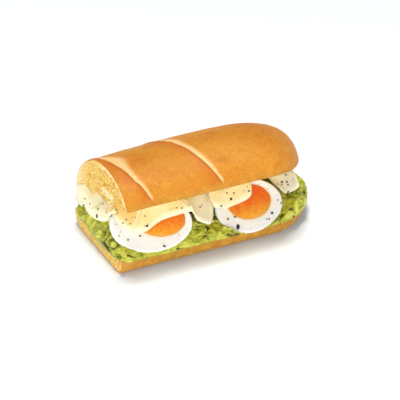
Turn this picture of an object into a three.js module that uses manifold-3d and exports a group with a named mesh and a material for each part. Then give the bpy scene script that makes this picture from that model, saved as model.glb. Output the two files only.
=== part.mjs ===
// Half a submarine sandwich: a long roll cut across at one end, slit open and filled with
// smashed avocado, boiled egg halves and draped cheese slices, specked with cracked pepper.
// Millimetres, +Z up. X runs from the cut end (low) to the roll's own rounded end (high), Y from the
// open front (low) to the hinge side, and the sandwich lies on its base.
import * as THREE from 'three';
import { LoftGeometry } from 'three/addons/geometries/LoftGeometry.js';
import { mergeVertices } from 'three/addons/utils/BufferGeometryUtils.js';
import Module from 'manifold-3d';

const wasm = await Module();
wasm.setup();

// Driving dimensions
const LENGTH = 168; // half of a 33.6 cm roll
const BASE_WIDTH = 85;
const BASE_RIM = 13; // height of the base bread's rim
const BASE_MIDDLE = 4.5; // the base lies this far back from the lid's hinge line
const LID_LENGTH = 157.5;
const LID_WIDTH = 97.5;
const LID_HEIGHT = 35;
const LID_ARCH = 2.5; // how much higher the lid's crown is half way along
const LID_TILT = THREE.MathUtils.degToRad(23); // the filling holds the front open
const AVOCADO_HEIGHT = 12; // over the base bread
const CHEESE = 2.1; // thickness of a slice
const GAP = 0.35; // clearance between touching pieces
const PEPPER = 0.85; // mean radius of a fleck

// The roll's rounded end: lengths over which widths and heights run out, and how square they do it
const BASE_END = { width: 46, height: 30, power: 2 };
const LID_END = { width: 38, height: 64, power: 1.9, crownPower: 3.2, tuck: 9 };

const MIDDLE = new THREE.Vector3(84, -0.5, 0);

// Small helpers

function superEllipse(t, power) {
  const rest = 1 - Math.abs(t) ** power;
  return rest > 1e-9 ? rest ** (1 / power) : 0;
}

const smooth = (low, high, t) => THREE.MathUtils.smoothstep(t, low, high);
const taper = (x, end, run, power) => superEllipse(Math.min(1, Math.max(0, x - end + run) / run), power);

// Uneven, repeatable relief of about -1 to 1, with lumps about `size` mm across.
function lumps(x, y, z, size) {
  const k = (2 * Math.PI) / size;
  const a = Math.sin(k * (0.61 * x + 0.37 * y + 0.2 * z) + 1.7 * Math.sin(k * 0.31 * y));
  const b = Math.sin(k * (-0.29 * x + 0.58 * y + 0.4 * z) + 1.3 * Math.sin(k * 0.37 * x) + 2.1);
  const c = Math.sin(k * (0.23 * x - 0.41 * y + 0.66 * z) + 4.2);
  return (a + b + c) / 3;
}

// Repeatable random numbers from 0 to 1.
function seeded(seed) {
  let state = seed;
  return () => {
    state = (state * 1664525 + 1013904223) % 4294967296;
    return state / 4294967296;
  };
}

// Closed triangle mesh with shared corners, without the flat triangles that lie at a loft's poles.
function closed(geometry) {
  const bare = new THREE.BufferGeometry();
  bare.setAttribute('position', geometry.getAttribute('position').clone());
  bare.setIndex(geometry.index.clone());
  const merged = mergeVertices(bare, 1e-3);
  const corners = [];
  for (let i = 0; i < merged.index.count; i += 3) {
    const [a, b, c] = [0, 1, 2].map((k) => merged.index.getX(i + k));
    if (a !== b && b !== c && c !== a) corners.push(a, b, c);
  }
  merged.setIndex(corners);
  return merged;
}

function solid(geometry) {
  const mesh = closed(geometry);
  const vertProperties = new Float32Array(mesh.getAttribute('position').array);
  const made = new wasm.Manifold(
    new wasm.Mesh({ numProp: 3, vertProperties, triVerts: new Uint32Array(mesh.index.array) }),
  );
  return made;
}

// The body without loose scraps.
function largest(body) {
  const parts = body.decompose();
  return parts.reduce((best, part) => (part.volume() > best.volume() ? part : best));
}

function meshOf(name, body, material) {
  const { numProp, vertProperties, triVerts } = body.getMesh();
  const geometry = new THREE.BufferGeometry();
  geometry.setAttribute('position', new THREE.BufferAttribute(vertProperties, numProp));
  geometry.setIndex(new THREE.BufferAttribute(triVerts, 1));
  geometry.computeVertexNormals();
  const mesh = new THREE.Mesh(geometry, material);
  mesh.name = name;
  return mesh;
}

// Stations along a roll: even up to the rounded end, then by angle.
function stations(start, end, run, count, endCount) {
  const straight = end - run;
  const list = [];
  for (let i = 0; i < count; i++) list.push(start + ((straight - start) * i) / count);
  for (let i = 0; i <= endCount; i++) list.push(straight + run * Math.sin((Math.PI / 2) * (i / endCount)));
  return list;
}

// A loft of the rings at the stations, with the cut face closed by smaller rings of the first one.
// The crumb of the cut face is uneven by `crumb` mm.
function roll(ring, places, crumb) {
  const rim = ring(places[0]);
  const centre = rim.reduce((sum, p) => sum.add(p), new THREE.Vector3()).divideScalar(rim.length);
  const face = [0, 0.3, 0.55, 0.78, 0.94].map((share) =>
    rim.map((p) => {
      const q = p.clone().lerp(centre, 1 - share);
      q.x += crumb * lumps(7, q.y, q.z, 9) * (share > 0.9 ? 0.3 : 1);
      return q;
    }),
  );
  return solid(new LoftGeometry([...face, ...places.map(ring)]));
}

// The base bread

const BASE_DISH = 1.2; // the sliced top sinks this much under the filling
const BASE_BELLY = 2.2; // the round crust is flattened this much where it rests
const CRUST_POWER = { front: 4.5, back: 2.8 };

const baseHalf = (x) => (BASE_WIDTH / 2) * taper(x, LENGTH, BASE_END.width, BASE_END.power);

function baseRing(x, grow = 0) {
  const proud = baseHalf(x) > 0 ? grow : 0;
  const half = baseHalf(x) + proud;
  const depth = (BASE_RIM + BASE_BELLY) * taper(x, LENGTH, BASE_END.height, BASE_END.power);
  const topSteps = 8;
  const crustSteps = 16;
  const points = [];
  for (let i = 0; i <= topSteps; i++) {
    const t = 1 - (2 * i) / topSteps;
    const top = BASE_RIM - BASE_DISH * (1 - t ** 4) * Math.min(1, half / 20) + proud;
    points.push(new THREE.Vector3(x, BASE_MIDDLE + half * t, top));
  }
  for (let i = 1; i < crustSteps; i++) {
    const angle = Math.PI * (1 - i / crustSteps);
    const power = THREE.MathUtils.lerp(CRUST_POWER.front, CRUST_POWER.back, i / crustSteps);
    const side = Math.sign(Math.cos(angle)) * Math.abs(Math.cos(angle)) ** (2 / power);
    const drop = Math.sin(angle) ** (2 / power);
    points.push(new THREE.Vector3(x, BASE_MIDDLE + half * side, Math.max(0, BASE_RIM - depth * drop)));
  }
  return points;
}

// The lid

const LID_CENTRE = new THREE.Vector3(0, -3.6, 41.8); // middle of the lid's sliced side
const LID_POWER = 1.95;
const CRUMB_ARCH = 8; // the soft underside gives way over the filling
const CRUMB_GIVE = 15; // at most this much where something hard presses in

const lidHalf = (x) => (LID_WIDTH / 2) * taper(x, LID_LENGTH, LID_END.width, LID_END.power);

function lidHeight(x) {
  const crown = LID_HEIGHT + LID_ARCH * Math.sin(Math.PI * Math.min(1, Math.max(0, x / LID_LENGTH)));
  return crown * taper(x, LID_LENGTH, LID_END.height, LID_END.crownPower);
}

// A point given across the lid (front low) and up from its sliced side.
function lidPoint(x, across, up) {
  const point = new THREE.Vector3(x, across, up);
  point.applyAxisAngle(new THREE.Vector3(1, 0, 0), -LID_TILT);
  return point.add(LID_CENTRE);
}

// The lid's lower rim curls up towards the rounded end.
const lidTuck = (x) => LID_END.tuck * (1 - taper(x, LID_LENGTH, 26, 2));

// A point of the lid's crust. `turn` goes from the hinge side (0) over the top to the front (1).
function lidCrust(x, turn, proud = 0) {
  const angle = Math.PI * turn;
  const tuck = lidTuck(x);
  const side = Math.sign(Math.cos(angle)) * Math.abs(Math.cos(angle)) ** (2 / LID_POWER);
  const rise = Math.abs(Math.sin(angle)) ** (2 / LID_POWER);
  const crown = Math.max(0, lidHeight(x) - tuck) + proud;
  return lidPoint(x, (lidHalf(x) + proud) * side, tuck + crown * rise);
}

function lidRing(x) {
  const crustSteps = 24;
  const underSteps = 14;
  const points = [];
  for (let i = 0; i < crustSteps; i++) points.push(lidCrust(x, i / crustSteps));
  for (let i = 0; i < underSteps; i++) {
    const t = (2 * i) / underSteps - 1;
    const point = lidPoint(x, lidHalf(x) * t, lidTuck(x));
    const room = taper(x, LID_LENGTH, LID_END.height, 2) * (1 - t ** 8);
    const arch = CRUMB_ARCH * room * (1 + 0.3 * t);
    const near = [[x, point.y], ...around(x, point.y, 4.5, 8)].map(([px, py]) => fillingTop(px, py));
    const pressed = Math.max(...near) + 2 * GAP - point.z;
    point.z += Math.max(arch, Math.min(pressed, CRUMB_GIVE * Math.min(1, 1.6 * room)));
    points.push(point);
  }
  return points;
}

// The baker's slashes over the crust, each from its place on the crown to its place at the front rim.
const SLASHES = [
  { crown: 9.5, rim: 22.5 },
  { crown: 50, rim: 80 },
];
const SLASH = { width: 5, depth: 1.6, from: 0.4, to: 0.965 };

function slash({ crown, rim }) {
  const steps = 14;
  const sections = [];
  for (let i = 0; i <= steps; i++) {
    const t = i / steps;
    const turn = THREE.MathUtils.lerp(SLASH.from, SLASH.to, t);
    const x = THREE.MathUtils.lerp(crown, rim, t);
    const size = superEllipse(2 * t - 1, 2.5);
    const corner = (side, up) => {
      const height = size > 0 ? (up > 0 ? 2 : -SLASH.depth * size * up) : 0;
      return lidCrust(x + side * size * SLASH.width * 0.5, turn, up > 0 ? height : -height * 1);
    };
    sections.push([corner(1, 1), corner(0, 1), corner(-1, 1), corner(-0.5, -0.8), corner(0, -1), corner(0.5, -0.8)]);
  }
  return solid(new LoftGeometry(sections));
}

// The avocado

const AVOCADO_START = -1.8; // it droops over the cut
const AVOCADO_OUT = 1.7; // and this far over the base bread's sides
const AVOCADO_ROUND = 12; // width of its rounded edges

function avocadoHalf(x) {
  const squash = LENGTH / (LENGTH + AVOCADO_OUT);
  const start = superEllipse(Math.min(1, Math.max(0, 10 + AVOCADO_START - x) / 10), 2.4);
  return (BASE_WIDTH / 2 + AVOCADO_OUT) * taper(x * squash, LENGTH, BASE_END.width, BASE_END.power) * start ** 0.3;
}

function avocadoTop(x, y) {
  const half = avocadoHalf(x);
  const across = half > 0 ? superEllipse(Math.min(1, Math.abs(y - BASE_MIDDLE) / half), 2.9) : 0;
  const fromStart = Math.max(0, AVOCADO_START + AVOCADO_ROUND - x) / AVOCADO_ROUND;
  const start = superEllipse(Math.min(1, fromStart), 2.2);
  const end = taper(x, LENGTH + AVOCADO_OUT, AVOCADO_ROUND, 2);
  const swell = across * start * end;
  const relief = (1.5 * lumps(x, y, 0, 15) + 0.8 * lumps(x, y, 9, 7)) * Math.min(1, 2.5 * swell);
  return BASE_RIM - 1 + (AVOCADO_HEIGHT + 1) * swell + relief;
}

// Where it hangs down to, outside the bread.
function avocadoFoot(x, y) {
  const side = Math.max(smooth(2, 12, x), smooth(-26, -34, y));
  return THREE.MathUtils.lerp(10.6 + 2.4 * lumps(x, y, 4, 17), 12.2 + 0.8 * lumps(x, y, 4, 13), side);
}

function avocadoRing(x) {
  const steps = 17;
  const half = avocadoHalf(x);
  const points = [];
  for (let i = 0; i <= steps; i++) {
    const y = BASE_MIDDLE + half * Math.cos((Math.PI * i) / steps);
    points.push(new THREE.Vector3(x, y, avocadoTop(x, y)));
  }
  for (let i = 0; i <= steps; i++) {
    const y = BASE_MIDDLE - half * Math.cos((Math.PI * i) / steps);
    points.push(new THREE.Vector3(x, y, Math.min(avocadoTop(x, y), avocadoFoot(x, y))));
  }
  return points;
}

// The eggs: halves whose cut face leans back. `turn` swings the face towards the cut end, `lean` is the
// height of its normal above level, both in degrees.
const EGGS = [
  { at: [28.6, -27.5, 33], turn: 20, lean: 45, long: 61, wide: 43, deep: 19, yolk: { at: [7.5, 2.5], long: 36, wide: 26 } },
  { at: [109.5, -27, 27], turn: 0, lean: 42, long: 54.5, wide: 41, deep: 16, yolk: { at: [1, 2.3], long: 35, wide: 26 } },
  { at: [15.5, 16, 33.4], turn: 80, lean: 68, long: 42, wide: 38, deep: 14 },
];
const YOLK_DEPTH = 11;

function eggFrame({ at, turn, lean }) {
  const phi = THREE.MathUtils.degToRad(turn);
  const rise = THREE.MathUtils.degToRad(lean);
  const along = new THREE.Vector3(Math.cos(phi), -Math.sin(phi), 0);
  const normal = new THREE.Vector3(
    -Math.sin(phi) * Math.cos(rise), -Math.cos(phi) * Math.cos(rise), Math.sin(rise),
  );
  const across = new THREE.Vector3().crossVectors(normal, along);
  return new THREE.Matrix4().makeBasis(along, across, normal).setPosition(...at);
}

// Whole ellipsoid of revolution-like egg, long axis on X, as a lathe.
function eggSolid(long, wide, deep, steps, segments, blunt) {
  const profile = [];
  for (let i = 0; i <= steps; i++) {
    const angle = (Math.PI * i) / steps;
    profile.push(new THREE.Vector2(Math.sin(angle) * (1 + blunt * Math.cos(angle)) / 2, -Math.cos(angle) / 2));
  }
  profile[0].x = 0;
  profile[steps].x = 0;
  const shape = new THREE.LatheGeometry(profile, segments);
  shape.rotateZ(-Math.PI / 2);
  shape.scale(long, wide, 2 * deep);
  return solid(shape);
}

function eggHalf(egg, grow) {
  const size = 2 * grow;
  const whole = eggSolid(egg.long + size, egg.wide + size, egg.deep + grow, 14, 28, 0.06);
  const above = solid(new THREE.BoxGeometry(90, 90, 60).translate(0, 0, 30 + grow));
  return whole.subtract(above);
}

function placed(body, frame) {
  return body.transform(frame.toArray());
}

function yolkSolid(yolk, grow) {
  const whole = eggSolid(yolk.long + 2 * grow, yolk.wide + 2 * grow, YOLK_DEPTH + grow, 8, 22, 0);
  return whole.translate([yolk.at[0], yolk.at[1], 0]);
}

// Height of the egg half's upper side over a plan point, or nothing where there is none.
function eggTop(egg, x, y) {
  const inverse = eggFrame(egg).invert();
  const origin = new THREE.Vector3(x, y, 0).applyMatrix4(inverse);
  const up = new THREE.Vector3(0, 0, 1).transformDirection(inverse);
  const squash = new THREE.Vector3(2 / (egg.long * 1.02), 2 / (egg.wide * 1.02), 1 / (egg.deep * 1.02));
  const o = origin.clone().multiply(squash);
  const d = up.clone().multiply(squash);
  const a = d.dot(d);
  const b = o.dot(d);
  const c = o.dot(o) - 1;
  const root = b * b - a * c;
  if (root <= 0) return -Infinity;
  const low = (-b - Math.sqrt(root)) / a;
  const high = (-b + Math.sqrt(root)) / a;
  const face = -origin.z / up.z;
  return face < low ? -Infinity : Math.min(high, face);
}

// The cheese

// What a slice lies on at a plan point: the highest of avocado and eggs within reach of a slice that
// bridges small hollows.
const support = (x, y) => Math.max(avocadoTop(x, y), ...EGGS.map((egg) => eggTop(egg, x, y)));

function around(x, y, reach, count) {
  const spots = [];
  for (let i = 0; i < count; i++) {
    const angle = (2 * Math.PI * i) / count;
    spots.push([x + reach * Math.cos(angle), y + reach * Math.sin(angle)]);
  }
  return spots;
}

const supportCache = new Map();
function clearOf(x, y) {
  const key = `${x.toFixed(2)},${y.toFixed(2)}`;
  if (!supportCache.has(key)) {
    const near = [[x, y], ...around(x, y, 2, 8)];
    supportCache.set(key, Math.max(...near.map(([px, py]) => support(px, py))));
  }
  return supportCache.get(key);
}

function drape(x, y) {
  const ring = around(x, y, 4, 8).map(([px, py]) => clearOf(px, py));
  const mean = ring.reduce((sum, z) => sum + z, 0) / ring.length;
  return Math.max(clearOf(x, y), mean) + GAP;
}

// How much a sheet's thickness grows when measured upright on a slope.
function steep(x, y) {
  const dx = (drape(x + 3, y) - drape(x - 3, y)) / 6;
  const dy = (drape(x, y + 3) - drape(x, y - 3)) / 6;
  return Math.min(1.9, Math.hypot(1, dx, dy));
}

// The plane of an egg's cut face, as a place and the slopes along X and Y.
function facePlane(egg) {
  const normal = new THREE.Vector3().setFromMatrixColumn(eggFrame(egg), 2);
  return { at: egg.at, slopes: [-normal.x / normal.z, -normal.y / normal.z] };
}

// Plan corners run round from the front left: front left, front right, back right, back left. A stiff
// slice keeps above the lowest of its `held` planes and its `top`. `bow` pulls its front edge back.
const SLICES = [
  {
    name: 'cheese_slice_1',
    corners: [[16, -31], [74, -37], [92, 4], [28, 14]],
    bow: 2.2,
    held: [facePlane(EGGS[0]), { at: [74, -37, 22], slopes: [-0.52, 0.85] }],
    top: 40,
    over: [],
  },
  {
    name: 'cheese_slice_2',
    corners: [[-1.5, -12], [8.5, -12], [24, 32], [-1.5, 37]],
    held: [{ at: [-1, 8, 27], slopes: [0.35, -0.42] }],
    top: 40,
    over: [],
  },
  {
    name: 'cheese_slice_3',
    corners: [[5, -25.5], [16, -29], [51, -4], [20, 2]],
    held: [facePlane(EGGS[0])],
    top: 46,
    over: [0],
  },
  {
    name: 'cheese_slice_4',
    corners: [[79, -30], [115.5, -27], [120, 14], [84, 18]],
    bow: 2.4,
    held: [facePlane(EGGS[1])],
    top: 41,
    over: [0],
  },
  {
    name: 'cheese_slice_5',
    corners: [[139, -23], [157, -20], [155, 12], [128, 10]],
    held: [{ at: [145, -22, 24.5], slopes: [0, 0.5] }],
    top: 34,
    over: [3],
  },
];

function level({ held, top }, x, y) {
  const heights = held.map(({ at, slopes }) => at[2] + slopes[0] * (x - at[0]) + slopes[1] * (y - at[1]));
  return Math.min(top, ...heights);
}

// Distance of a plan point outside a slice's outline, negative inside.
function outside({ corners }, x, y) {
  return Math.max(
    ...corners.map(([ax, ay], i) => {
      const [bx, by] = corners[(i + 1) % corners.length];
      return ((x - ax) * (by - ay) - (y - ay) * (bx - ax)) / Math.hypot(bx - ax, by - ay);
    }),
  );
}

const covers = (slice, x, y) => 1 - smooth(2, 9, outside(slice, x, y));

function sliceBottom(slice, x, y) {
  const own = Math.max(drape(x, y), level(slice, x, y));
  const raised = slice.over.map((i) => {
    const share = covers(SLICES[i], x, y);
    if (share <= 0) return own;
    const near = [[x, y], ...around(x, y, 2, 6)].map(([px, py]) => sliceBottom(SLICES[i], px, py));
    const top = Math.max(...near) + (CHEESE + 2 * GAP) * steep(x, y);
    return THREE.MathUtils.lerp(own, Math.max(own, top), share);
  });
  return Math.max(own, ...raised);
}

function fillingTop(x, y) {
  const tops = SLICES.map((slice) => {
    const share = covers(slice, x, y);
    const bare = drape(x, y);
    if (share <= 0) return bare;
    return THREE.MathUtils.lerp(bare, sliceBottom(slice, x, y) + CHEESE * steep(x, y), share);
  });
  return Math.max(...tops);
}

// Plan place on a slice: u runs along it, v from its front edge back. Its corners are rounded off.
function slicePlan({ corners, bow = 0 }, u, v) {
  const [a, b, c, d] = corners.map(([x, y]) => new THREE.Vector2(x, y));
  const front = a.clone().lerp(b, u);
  front.y += bow * Math.sin(Math.PI * (1 - (1 - u) ** 1.6));
  const back = d.clone().lerp(c, u);
  const centre = a.clone().add(b).add(c).add(d).divideScalar(4);
  const corner = (Math.abs(2 * u - 1) * Math.abs(2 * v - 1)) ** 4;
  return front.lerp(back, v).lerp(centre, 0.09 * corner);
}

function sliceSolid(slice, rows, columns) {
  const sections = [];
  for (let i = -1; i <= rows + 1; i++) {
    const u = Math.min(1, Math.max(0, i / rows));
    const edge = i < 0 || i > rows;
    const ring = [];
    const layer = (v, height) => {
      const plan = slicePlan(slice, u, v);
      const low = sliceBottom(slice, plan.x, plan.y);
      const thick = CHEESE * steep(plan.x, plan.y);
      ring.push(new THREE.Vector3(plan.x, plan.y, low + thick * (edge ? 0.5 : height)));
    };
    for (let j = 0; j <= columns; j++) layer(1 - j / columns, 1);
    for (let j = 0; j <= columns; j++) layer(j / columns, 0);
    sections.push(ring);
  }
  return solid(new LoftGeometry(sections));
}

// Cracked pepper

// Flecks at the given places, each a turned eight-sided grain, half sunk in what it lies on.
function pepper(places, seed) {
  const random = seeded(seed);
  const grains = places.map((place) => {
    const grain = new THREE.OctahedronGeometry(PEPPER * (0.7 + 0.7 * random() ** 2), 0);
    grain.setIndex([...Array(grain.getAttribute('position').count).keys()]);
    grain.scale(1, 0.75, 0.8);
    grain.rotateX(3 * random());
    grain.rotateZ(3 * random());
    grain.translate(place.x, place.y, place.z);
    return solid(grain);
  });
  return wasm.Manifold.union(grains);
}

// Places spread over the part of a slice in front of the lid's shadow.
function slicePlaces(slice, count, reach, seed) {
  const random = seeded(seed);
  return Array.from({ length: count }, (_, i) => {
    const u = 0.1 + (0.8 * (i + random())) / count;
    const { x, y } = slicePlan(slice, u, 0.08 + reach * random());
    return new THREE.Vector3(x, y, sliceBottom(slice, x, y) + CHEESE * steep(x, y) - 0.1);
  });
}

// Places round the lower rim of an egg's cut face, between two angles.
function rimPlaces(egg, count, from, to, seed) {
  const random = seeded(seed);
  return Array.from({ length: count }, (_, i) => {
    const angle = THREE.MathUtils.degToRad(THREE.MathUtils.lerp(from, to, (i + random()) / count));
    const share = 0.8 + 0.1 * random();
    const a = (egg.long / 2) * share * Math.cos(angle);
    const b = (egg.wide / 2) * share * Math.sin(angle);
    return new THREE.Vector3(a, b, 0.1).applyMatrix4(eggFrame(egg));
  });
}

// Assembly

const bread = new THREE.MeshStandardMaterial({ color: 0xd98f3c, roughness: 0.7 });
const avocadoGreen = new THREE.MeshStandardMaterial({ color: 0xa9b83c, roughness: 0.45 });
const white = new THREE.MeshStandardMaterial({ color: 0xf4f2ea, roughness: 0.35 });
const orange = new THREE.MeshStandardMaterial({ color: 0xf08a1c, roughness: 0.4 });
const cheese = new THREE.MeshStandardMaterial({ color: 0xf3e6b4, roughness: 0.4 });

const sandwich = new THREE.Group();

const basePlaces = (start, end) => stations(start, end, BASE_END.width, 12, 9);
let base = roll((x) => baseRing(x), basePlaces(0, LENGTH), 0.5);
const baseGrown = roll((x) => baseRing(x, GAP), basePlaces(-GAP, LENGTH), 0).simplify(0.05);
const eggs = EGGS.map((egg) => placed(eggHalf(egg, 0), eggFrame(egg)));
const eggsGrown = EGGS.map((egg) => placed(eggHalf(egg, GAP), eggFrame(egg)));
const eggsAbove = EGGS.map((egg) => {
  const air = new THREE.CylinderGeometry(1, 1, 30, 28);
  air.rotateX(Math.PI / 2);
  air.translate(0, 0, 15);
  air.scale(egg.long / 2, egg.wide / 2, 1);
  return placed(solid(air), eggFrame(egg));
});

// The eggs press their dents into the soft bread.
for (const body of eggsGrown) base = base.subtract(body);
sandwich.add(meshOf('bread_base', base, bread));

const avocadoPlaces = [0, 0.4, 1.4, ...stations(3, LENGTH + AVOCADO_OUT - AVOCADO_START, BASE_END.width, 20, 11)];
let avocado = solid(new LoftGeometry(avocadoPlaces.map((x) => avocadoRing(AVOCADO_START + x))));
avocado = avocado.subtract(baseGrown);
for (const body of [...eggsGrown, ...eggsAbove]) avocado = avocado.subtract(body);
sandwich.add(meshOf('avocado', largest(avocado.simplify(0.12)), avocadoGreen));

const RIM_FLECKS = [
  { count: 7, from: 195, to: 330 },
  { count: 9, from: 205, to: 400 },
];
EGGS.forEach((egg, i) => {
  let body = eggHalf(egg, 0);
  if (egg.yolk) {
    body = body.subtract(yolkSolid(egg.yolk, GAP));
    const above = solid(new THREE.BoxGeometry(90, 90, 60).translate(0, 0, 30));
    const yolk = yolkSolid(egg.yolk, 0).subtract(above);
    sandwich.add(meshOf(`egg_yolk_${i + 1}`, placed(yolk, eggFrame(egg)), orange));
  }
  body = placed(body, eggFrame(egg));
  if (i === 2) body = body.subtract(eggsGrown[0]);
  if (RIM_FLECKS[i]) {
    const { count, from, to } = RIM_FLECKS[i];
    body = body.add(pepper(rimPlaces(egg, count, from, to, 40 + i), 50 + i));
  }
  sandwich.add(meshOf(`egg_white_${i + 1}`, largest(body), white));
});

// The slices' flecks: how many, and how far back from the front edge as a share of the slice.
const SLICE_FLECKS = [
  { count: 9, reach: 0.24 },
  { count: 6, reach: 0.2 },
  { count: 4, reach: 0.3 },
  { count: 6, reach: 0.22 },
  { count: 6, reach: 0.3 },
];
SLICES.forEach((slice, i) => {
  const { count, reach } = SLICE_FLECKS[i];
  const flecks = pepper(slicePlaces(slice, count, reach, 10 + i), 20 + i);
  let body = sliceSolid(slice, 10, 9);
  for (const egg of eggsGrown) body = body.subtract(egg);
  sandwich.add(meshOf(slice.name, largest(body.add(flecks)), cheese));
});

let lid = roll(lidRing, stations(0, LID_LENGTH, LID_END.width, 18, 10), 0.5);
for (const path of SLASHES) lid = lid.subtract(slash(path));
for (const body of eggsGrown) lid = lid.subtract(body);
sandwich.add(meshOf('bread_lid', lid, bread));

sandwich.position.copy(MIDDLE).negate();

export default sandwich;
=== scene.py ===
"""Half a submarine sandwich on a pale floor: a baked roll with smashed avocado, boiled egg halves, draped
cheese slices and cracked pepper. Shapes are worked out in millimetres in the roll's own frame (X 0 at the
cut end, Y 0 near the middle, Z 0 on the floor) and moved to the frame's origin as metres."""

import math

import bmesh
import bpy
import numpy as np
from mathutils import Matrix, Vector
from mathutils.bvhtree import BVHTree


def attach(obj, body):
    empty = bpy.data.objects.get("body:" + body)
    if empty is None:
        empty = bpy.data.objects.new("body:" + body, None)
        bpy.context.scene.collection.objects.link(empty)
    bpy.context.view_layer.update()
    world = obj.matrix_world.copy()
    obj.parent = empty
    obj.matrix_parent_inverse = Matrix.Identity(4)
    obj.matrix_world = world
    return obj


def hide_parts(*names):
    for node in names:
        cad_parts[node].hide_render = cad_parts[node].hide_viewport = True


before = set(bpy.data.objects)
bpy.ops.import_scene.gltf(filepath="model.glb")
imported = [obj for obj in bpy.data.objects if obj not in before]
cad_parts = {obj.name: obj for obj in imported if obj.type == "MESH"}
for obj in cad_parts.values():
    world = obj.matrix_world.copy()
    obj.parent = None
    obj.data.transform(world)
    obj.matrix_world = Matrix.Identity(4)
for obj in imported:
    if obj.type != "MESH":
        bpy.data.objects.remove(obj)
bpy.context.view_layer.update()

# Driving dimensions, the same as the solids have
LENGTH = 168
BASE_WIDTH = 85
BASE_RIM = 13  # height of its sliced side at the crust
BASE_MIDDLE = 4.5  # Y of its middle
LID_LENGTH = 157.5
LID_WIDTH = 97.5
LID_HEIGHT = 35
LID_ARCH = 2.5  # what it rises by from its ends to halfway along
LID_TILT = math.radians(23)  # its front is the low side
LID_CENTRE = (-3.6, 41.8)  # Y and Z of the middle of the lid's sliced side
AVOCADO_HEIGHT = 12
CHEESE = 2.1  # thickness of a slice
GAP = 0.35  # between pieces that touch
BASE_END = {"width": 46, "height": 30, "power": 2}
LID_END = {"width": 38, "height": 64, "power": 1.9, "crown_power": 3.2, "tuck": 9}
MIDDLE = np.array([84, -0.5, 0])  # the place that the frame has at its origin
MM = 0.001


# Numbers over arrays


def smooth(low, high, t):
    s = np.clip((t - low) / (high - low), 0, 1)
    return s * s * (3 - 2 * s)


def blend(a, b, share):
    return a + (b - a) * share


def super_ellipse(t, power):
    """Half height of a super ellipse of radius 1, `t` from its middle."""
    return np.maximum(0, 1 - np.abs(t) ** power) ** (1 / power)


def taper(x, end, run, power):
    """1 along a piece, rounding off to 0 over the last `run` mm before its end."""
    return super_ellipse(np.clip((x - end + run) / run, 0, 1), power)


def points_at(*axes):
    """Points from their coordinates, each an array or one number for all of them."""
    return np.stack(np.broadcast_arrays(*axes), -1)


def lumps(x, y, z, size):
    """The solids' own uneven relief, about -1 to 1, with lumps about `size` mm across."""
    k = 2 * math.pi / size
    a = np.sin(k * (0.61 * x + 0.37 * y + 0.2 * z) + 1.7 * np.sin(k * 0.31 * y))
    b = np.sin(k * (-0.29 * x + 0.58 * y + 0.4 * z) + 1.3 * np.sin(k * 0.37 * x) + 2.1)
    c = np.sin(k * (0.23 * x - 0.41 * y + 0.66 * z) + 4.2)
    return (a + b + c) / 3


def scramble(cell, seed):
    """Repeatable random numbers from 0 to 1 for whole-numbered cells (last axis of `cell`)."""
    n = np.full(cell.shape[:-1], seed * 7919 + 17, np.uint64)
    for axis in range(cell.shape[-1]):
        whole = (cell[..., axis].astype(np.int64) & 0xFFFFFFFF).astype(np.uint64)
        n = (n ^ whole) * np.uint64(0x9E3779B97F4A7C15)
        n ^= n >> np.uint64(29)
    n *= np.uint64(0xBF58476D1CE4E5B9)
    return (n >> np.uint64(40)).astype(float) / 2**24


def scatter(cell, seed, axes):
    """Repeatable random places from 0 to 1 along each axis."""
    return np.stack([scramble(cell, seed + k) for k in range(axes)], -1)


def noise(points, size, seed=0):
    """Smooth noise from -1 to 1 with features about `size` mm across."""
    p = np.asarray(points, float) / size
    low = np.floor(p)
    f = p - low
    f = f * f * f * (f * (f * 6 - 15) + 10)
    total = np.zeros(p.shape[:-1])
    for corner in range(2 ** p.shape[-1]):
        step = np.array([(corner >> axis) & 1 for axis in range(p.shape[-1])])
        weight = np.prod(np.where(step, f, 1 - f), axis=-1)
        total += weight * scramble(low + step, seed)
    return 2 * total - 1


def layered(points, size, octaves, seed=0):
    """Noise with finer noise on it, each half the size and strength of the one before."""
    total = sum(noise(points, size / 2**i, seed + i) / 2**i for i in range(octaves))
    return total / (2 - 2 / 2**octaves)


def pores(plane, size, share, seed):
    """Depths from 0 to 1 of round bubbles in a cut face: one for each cell of `size` mm that has one."""
    p = plane / size
    low = np.floor(p)
    deepest = np.zeros(p.shape[:-1])
    for dy in (-1, 0, 1):
        for dz in (-1, 0, 1):
            cell = low + np.array([dy, dz])
            centre = cell + scatter(cell, seed, 2)
            radius = 0.22 + 0.42 * scramble(cell, seed + 2) ** 1.5
            there = scramble(cell, seed + 3) < share
            long_way = 1 + 0.5 * scramble(cell, seed + 4)
            away = np.hypot((p[..., 0] - centre[..., 0]) / long_way, p[..., 1] - centre[..., 1]) / radius
            deepest = np.maximum(deepest, np.sqrt(np.clip(1 - away**2, 0, 1)) * there * radius / 0.5)
    return deepest


def chips(points, size, seed):
    """Broken tilted flakes about `size` mm across: how far each stands out, from about -1 to 1, its tone
    from 0 to 1, and 0 in the creases between them."""
    p = points / size
    low = np.floor(p)
    first = np.full(p.shape[:-1], 9.0)
    second, height, tone = first.copy(), np.zeros(first.shape), np.zeros(first.shape)
    for step in np.ndindex(3, 3, 3):
        cell = low + np.array(step) - 1
        away = p - cell - scatter(cell, seed, 3)
        tilt = scatter(cell, seed + 3, 3) - 0.5
        far = np.linalg.norm(away, axis=-1)
        shade = scramble(cell, seed + 6)
        nearer = far < first
        second = np.where(nearer, first, np.minimum(second, far))
        height = np.where(nearer, shade - 0.5 + 1.8 * (away * tilt).sum(-1), height)
        tone = np.where(nearer, shade, tone)
        first = np.minimum(first, far)
    return 2 * height, tone, smooth(0, 0.2, second - first)


# Meshes from grids


def grid_normals(grid):
    normal = np.cross(np.gradient(grid, axis=0), np.gradient(grid, axis=1))
    return normal / np.maximum(np.linalg.norm(normal, axis=-1, keepdims=True), 1e-9)


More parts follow.
